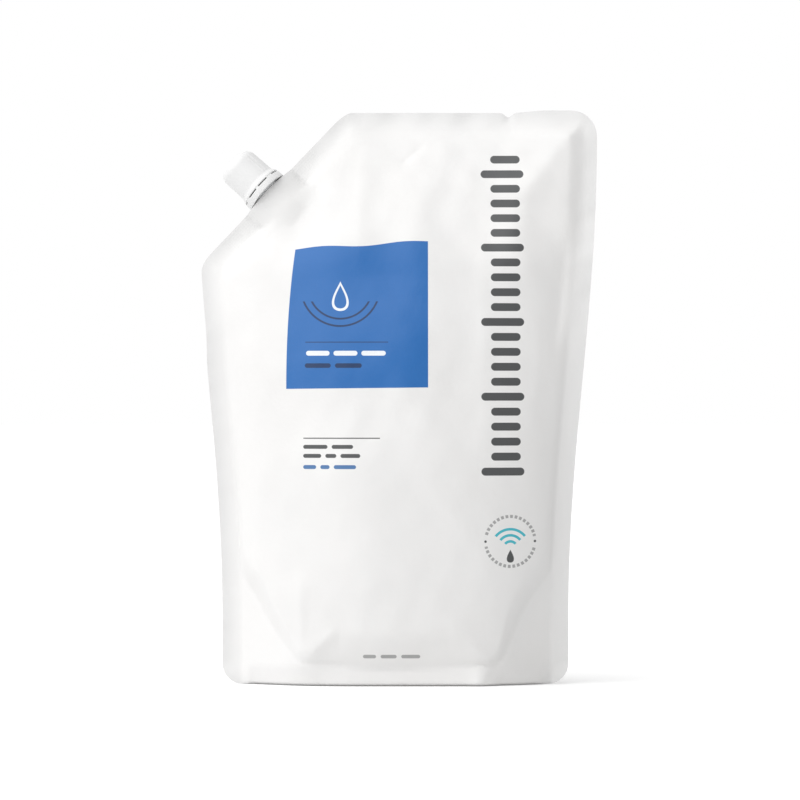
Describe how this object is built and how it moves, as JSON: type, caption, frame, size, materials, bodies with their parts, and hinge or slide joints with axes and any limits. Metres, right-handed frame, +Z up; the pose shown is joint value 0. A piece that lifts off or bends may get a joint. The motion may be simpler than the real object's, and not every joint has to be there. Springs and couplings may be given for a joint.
{
  "type": "liquid soap refill pouch",
  "caption": "Upright white film refill pouch for hand soap, flat sealed margins, gusseted base and a slanted corner that carries a screw-capped pouring spout.",
  "frame": {"origin": "centre of the flat base that the pouch stands on, midway between the side seals", "axes": "+Z up, +X to the right as the front panel is read, and the front panel faces -Y"},
  "size_m": [0.1914, 0.0678, 0.2751],
  "materials": {
    "film": "satin white laminated film with printed fields of blue and grey",
    "cap_plastic": "moulded white polypropylene, soft gloss",
    "spout_plastic": "moulded natural white polyethylene",
    "disc_foam": "closed-cell foam sheet"
  },
  "bodies": {
    "pack": {"pouch": "film", "spout": "spout_plastic", "tamper_band": "cap_plastic"},
    "liner": {"sealing_disc": "disc_foam"},
    "cap": {"screw_cap": "cap_plastic"}
  },
  "joints": [
    {"name": "cap_rise", "type": "slide", "parent": "pack", "child": "liner", "axis": [-0.7381, 0.1632, 0.6546], "range_m": [0, 0.006]},
    {"name": "cap_turn", "type": "hinge", "parent": "liner", "child": "cap", "pos_m": [-0.06134, 0.01267, 0.23581], "axis": [-0.7381, 0.1632, 0.6546], "range_deg": [0, 720]}
  ],
  "couplings": [
    {"joint": "cap_rise", "follows": "cap_turn", "m_per_rad": 0.00047746}
  ]
}
